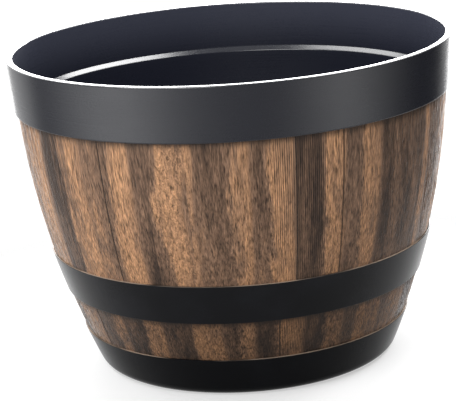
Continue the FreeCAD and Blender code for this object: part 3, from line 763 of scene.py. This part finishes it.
def add_sleeve(context, row, turn, face_rows, row_painted_shade):
    """Adds one row of staves in place of its frame node."""
    sizes = context.scene.planter_sizes
    node = f"{row.name}_stave_sleeve"
    outline, face_flags = sleeve_outline(sizes, row, face_rows)
    material = wood_material(row, turn, row_painted_shade, sizes, context.scene.planter_colours)
    tree = sleeve_tree(f"{row.name}_staves", row.clear_joints)
    # The outline is measured from its path, so any circle inside the wall serves
    path_radius = sizes.rim_diameter / 4
    mesh = outline_mesh(f"{node}_outline", outline, face_flags, path_radius)
    piece = bpy.data.objects.new(f"{node}_wood", mesh)
    context.scene.collection.objects.link(piece)
    modifier = piece.modifiers.new("staves", "NODES")
    modifier.node_group = tree
    inputs = {
        "Path Radius": path_radius, "Columns": sizes.stave_count * sizes.columns_per_stave,
        "Staves": sizes.stave_count, "Turn": turn, "Groove Width": sizes.groove_width,
        "Groove Depth": sizes.groove_depth, "Filled Depth": sizes.filled_depth,
        "Grain Relief": sizes.grain_relief, "Hewn Relief": sizes.hewn_relief, "Material": material,
    }
    for item in tree.interface.items_tree:
        if item.in_out == "INPUT" and item.name in inputs:
            modifier[item.identifier] = inputs[item.name]
    plain_mesh(piece)
    piece.data.set_sharp_from_angle(angle=SHARP_ANGLE)
    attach(piece, "pot")
    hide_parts(node)


# Operators

class PLANTER_OT_stave_sleeves(bpy.types.Operator):
    """Adds the two stave sleeves with embossed grain"""

    bl_idname = "planter.stave_sleeves"
    bl_label = "Stave Sleeves"

    def execute(self, context):
        sizes = context.scene.planter_sizes
        lower_painted_shade = context.scene.planter_colours.lower_painted_shade
        add_sleeve(context, UPPER_ROW, sizes.upper_turn, sizes.upper_rows, 1.0)
        add_sleeve(context, LOWER_ROW, sizes.lower_turn, sizes.lower_rows, lower_painted_shade)
        return {"FINISHED"}


class PLANTER_OT_resin_parts(bpy.types.Operator):
    """Finishes the pot, the hoop and the base band in satin black resin"""

    bl_idname = "planter.resin_parts"
    bl_label = "Pot, Hoop and Base"

    def execute(self, context):
        colours = context.scene.planter_colours
        dress_node("pot_shell", pot_material(context.scene.planter_sizes, colours))
        dress_node("hoop_band", band_material("hoop_resin", HOOP_TOP, HOOP_IOR, colours))
        dress_node("base_band", band_material("base_resin", BASE_TOP, BASE_IOR, colours))
        return {"FINISHED"}


class PLANTER_OT_drain_plugs(bpy.types.Operator):
    """Finishes the drain plugs in rubber"""

    bl_idname = "planter.drain_plugs"
    bl_label = "Drain Plugs"

    def execute(self, context):
        rubber = rubber_material(context.scene.planter_colours)
        for node in sorted(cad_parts):
            if node.startswith("drain_plug"):
                dress_node(node, rubber)
        return {"FINISHED"}


# Stage

# Ground: glowing patches round the set, each with its angle and reach in degrees and its brightness, the
# level between them, and the fall of a line of sight where they are brightest, with its spread
GROUND_POOLS = ((-60, 34, 4.2), (58, 26, 2.8), (0, 30, 0.75), (-164, 7, 0.8), (164, 8, 2.0))
GROUND_LEVEL = 0.05
GROUND_FALL, GROUND_SPREAD = -0.30, 0.20

# Where the ground gives way to the room, and where the white backdrop behind begins and is full
HORIZON = (-0.12, 0.0)
BACKDROP_TURN = math.radians(9)
BACKDROP_EDGE = (0.60, 0.76)

# Floor: its size, where it fades to white as shares of its radius, its tone as light from it falls on the
# pot, and its tone and glow as it is seen
FLOOR_RADIUS = 0.45
FLOOR_SIDES = 96
FLOOR_DROP = 0.0003
FLOOR_FADE = (0.6, 0.95)
FLOOR_TONE = 0.14
SEEN_TONE, SEEN_GLOW = 0.50, 0.50

WHITE = (1.0, 1.0, 1.0, 1.0)
SENSOR_WIDTH = 36.0


class Softbox(NamedTuple):
    """A rectangular lamp that faces the pot's middle.

    It stands at an angle in degrees, which is 0 on the viewer's side and grows to the right. Its distance,
    height and size are in metres, its roll is in degrees, and its level is a property of the studio.
    """

    name: str
    level: str
    angle: float
    distance: float
    height: float
    size: tuple
    roll: float = 0.0


SOFTBOXES = (
    Softbox("key_softbox", "key_level", -35, 1.34, 1.19, (1.2, 0.9)),
    Softbox("left_softbox", "left_level", -106, 1.15, 1.35, (1.6, 0.6), roll=36),
    Softbox("right_softbox", "right_level", 100, 1.08, 1.55, (1.8, 0.5), roll=-36),
    Softbox("top_softbox", "top_level", 180, 0.75, 2.0, (2.0, 1.1)),
    Softbox("back_strip", "back_level", 180, 2.2, 0.75, (2.8, 0.7)),
    Softbox("left_rim", "left_rim_level", -164, 1.3, 0.25, (0.4, 1.0)),
    Softbox("right_rim", "right_rim_level", 161, 1.3, 0.25, (0.5, 1.0)),
)


def grey(tone):
    """An even grey, as a node takes it."""
    return (tone, tone, tone, 1.0)


def add_softbox(context, softbox, level):
    """Adds a lamp whose brightness stays the same whatever its size."""
    width, length = softbox.size
    lamp = bpy.data.lights.new(softbox.name, "AREA")
    lamp.shape = "RECTANGLE"
    lamp.size, lamp.size_y = softbox.size
    lamp.energy = level * math.pi * width * length
    angle = math.radians(softbox.angle)
    out = softbox.distance
    place = Vector((math.sin(angle) * out, -math.cos(angle) * out, softbox.height))
    facing = (Vector((0.0, 0.0, POT_HEIGHT / 2)) - place).to_track_quat("-Z", "Y")
    box = bpy.data.objects.new(softbox.name, lamp)
    box.location = place
    box.rotation_euler = (facing @ Quaternion((0.0, 0.0, 1.0), math.radians(softbox.roll))).to_euler()
    context.scene.collection.objects.link(box)


def set_world(context, studio):
    """A white backdrop behind the pot, a dim room, and ground that glows under the softboxes."""
    world = bpy.data.worlds.new("studio")
    context.scene.world = world
    world.use_nodes = True
    world.node_tree.nodes.clear()
    graph = Graph(world.node_tree)
    x, y, z = graph.split(graph.add("ShaderNodeTexCoord", output="Generated"))
    azimuth = x.math("ARCTAN2", -y)
    reached = bell((z - GROUND_FALL) / GROUND_SPREAD)
    below = 1 - graph.smooth(z, *HORIZON)
    level = studio.room_level + (GROUND_LEVEL - studio.room_level) * below
    back = y * math.cos(BACKDROP_TURN) - x * math.sin(BACKDROP_TURN)
    level = level + (1 - level) * graph.smooth(back, *BACKDROP_EDGE)
    for angle, reach, glow in GROUND_POOLS:
        pool = bell((azimuth - math.radians(angle)) / math.radians(reach))
        level = level + pool * reached * below * glow
    shine = graph.add("ShaderNodeBackground", inputs={"Color": WHITE, "Strength": level})
    graph.add("ShaderNodeOutputWorld", inputs={"Surface": shine})


def floor_material():
    """Pale where it is seen, and darker where it only throws light on the pot."""
    material, graph = new_material("pale_floor")
    rays = graph.outputs("ShaderNodeLightPath")
    seen = rays["Is Camera Ray"].math("MAXIMUM", rays["Is Glossy Ray"])
    seen = seen.math("MAXIMUM", rays["Is Transmission Ray"])
    x, y, _ = graph.split(graph.add("ShaderNodeTexCoord", output="Object"))
    fade = graph.smooth(from_axis(x, y), *(FLOOR_RADIUS * share for share in FLOOR_FADE))
    plain = graph.add("ShaderNodeBsdfDiffuse", inputs={"Color": grey(FLOOR_TONE)})
    lifted = graph.add("ShaderNodeBsdfDiffuse", inputs={"Color": grey(SEEN_TONE)})
    glow = graph.add("ShaderNodeEmission", inputs={"Color": WHITE, "Strength": SEEN_GLOW})
    shaded = graph.add("ShaderNodeAddShader", inputs={0: lifted, 1: glow})
    white = graph.add("ShaderNodeEmission", inputs={"Color": WHITE, "Strength": 1.0})
    pale = graph.add("ShaderNodeMixShader", inputs={0: fade, 1: shaded, 2: white})
    surface = graph.add("ShaderNodeMixShader", inputs={0: seen, 1: plain, 2: pale})
    graph.add("ShaderNodeOutputMaterial", inputs={"Surface": surface})
    return material


def add_floor(context):
    """A pale round floor that fades to white at its edge."""
    material = floor_material()
    mesh = bpy.data.meshes.new("floor")
    turns = [step * FULL_TURN / FLOOR_SIDES for step in range(FLOOR_SIDES)]
    rim = [(FLOOR_RADIUS * math.cos(turn), FLOOR_RADIUS * math.sin(turn), -FLOOR_DROP) for turn in turns]
    mesh.from_pydata(rim, [], [tuple(range(FLOOR_SIDES))])
    mesh.materials.append(material)
    floor = bpy.data.objects.new("floor", mesh)
    context.scene.collection.objects.link(floor)


def add_camera(context, studio):
    """A camera placed from the middle of the rim and turned by the studio's pan, tilt and roll."""
    camera = bpy.data.cameras.new("camera")
    camera.lens = studio.lens
    camera.sensor_width = SENSOR_WIDTH
    stand = bpy.data.objects.new("camera", camera)
    context.scene.collection.objects.link(stand)
    context.scene.camera = stand
    elevation = studio.rim_elevation
    back = Vector((0.0, -math.cos(elevation), math.sin(elevation))) * studio.rim_distance
    ahead = Vector((math.sin(studio.pan) * math.cos(studio.tilt),
                    math.cos(studio.pan) * math.cos(studio.tilt), -math.sin(studio.tilt)))
    level_right = ahead.cross(Vector((0.0, 0.0, 1.0))).normalized()
    level_up = level_right.cross(ahead)
    right = level_right * math.cos(studio.roll) + level_up * math.sin(studio.roll)
    up = level_up * math.cos(studio.roll) - level_right * math.sin(studio.roll)
    turned = Matrix((right, up, -ahead)).transposed().to_4x4()
    stand.matrix_world = Matrix.Translation(back + Vector((0.0, 0.0, POT_HEIGHT))) @ turned


class PLANTER_OT_stage(bpy.types.Operator):
    """Adds the floor, the soft light, the white surroundings and the camera"""

    bl_idname = "planter.stage"
    bl_label = "Stage"

    def execute(self, context):
        studio = context.scene.planter_studio
        context.scene.view_settings.view_transform = "Standard"
        set_world(context, studio)
        add_floor(context)
        for softbox in SOFTBOXES:
            add_softbox(context, softbox, getattr(studio, softbox.level))
        add_camera(context, studio)
        return {"FINISHED"}


# Panel and registration

class PLANTER_PT_panel(bpy.types.Panel):
    """Lists the planter's steps"""

    bl_idname = "PLANTER_PT_panel"
    bl_label = "Planter"
    bl_space_type = "VIEW_3D"
    bl_region_type = "UI"
    bl_category = "Planter"

    def draw(self, context):
        for operator in OPERATORS:
            self.layout.operator(operator.bl_idname)


OPERATORS = (PLANTER_OT_stave_sleeves, PLANTER_OT_resin_parts, PLANTER_OT_drain_plugs, PLANTER_OT_stage)
GROUPS = {"planter_sizes": PlanterSizes, "planter_colours": PlanterColours, "planter_studio": PlanterStudio}


def register():
    for kind in (*GROUPS.values(), *OPERATORS, PLANTER_PT_panel):
        bpy.utils.register_class(kind)
    for name, group in GROUPS.items():
        setattr(bpy.types.Scene, name, bpy.props.PointerProperty(type=group))


def unregister():
    for name in GROUPS:
        delattr(bpy.types.Scene, name)
    for kind in (PLANTER_PT_panel, *reversed(OPERATORS), *reversed(GROUPS.values())):
        bpy.utils.unregister_class(kind)


def main():
    register()
    bpy.ops.planter.stave_sleeves()
    bpy.ops.planter.resin_parts()
    bpy.ops.planter.drain_plugs()
    bpy.ops.planter.stage()


if __name__ == "__main__":
    main()
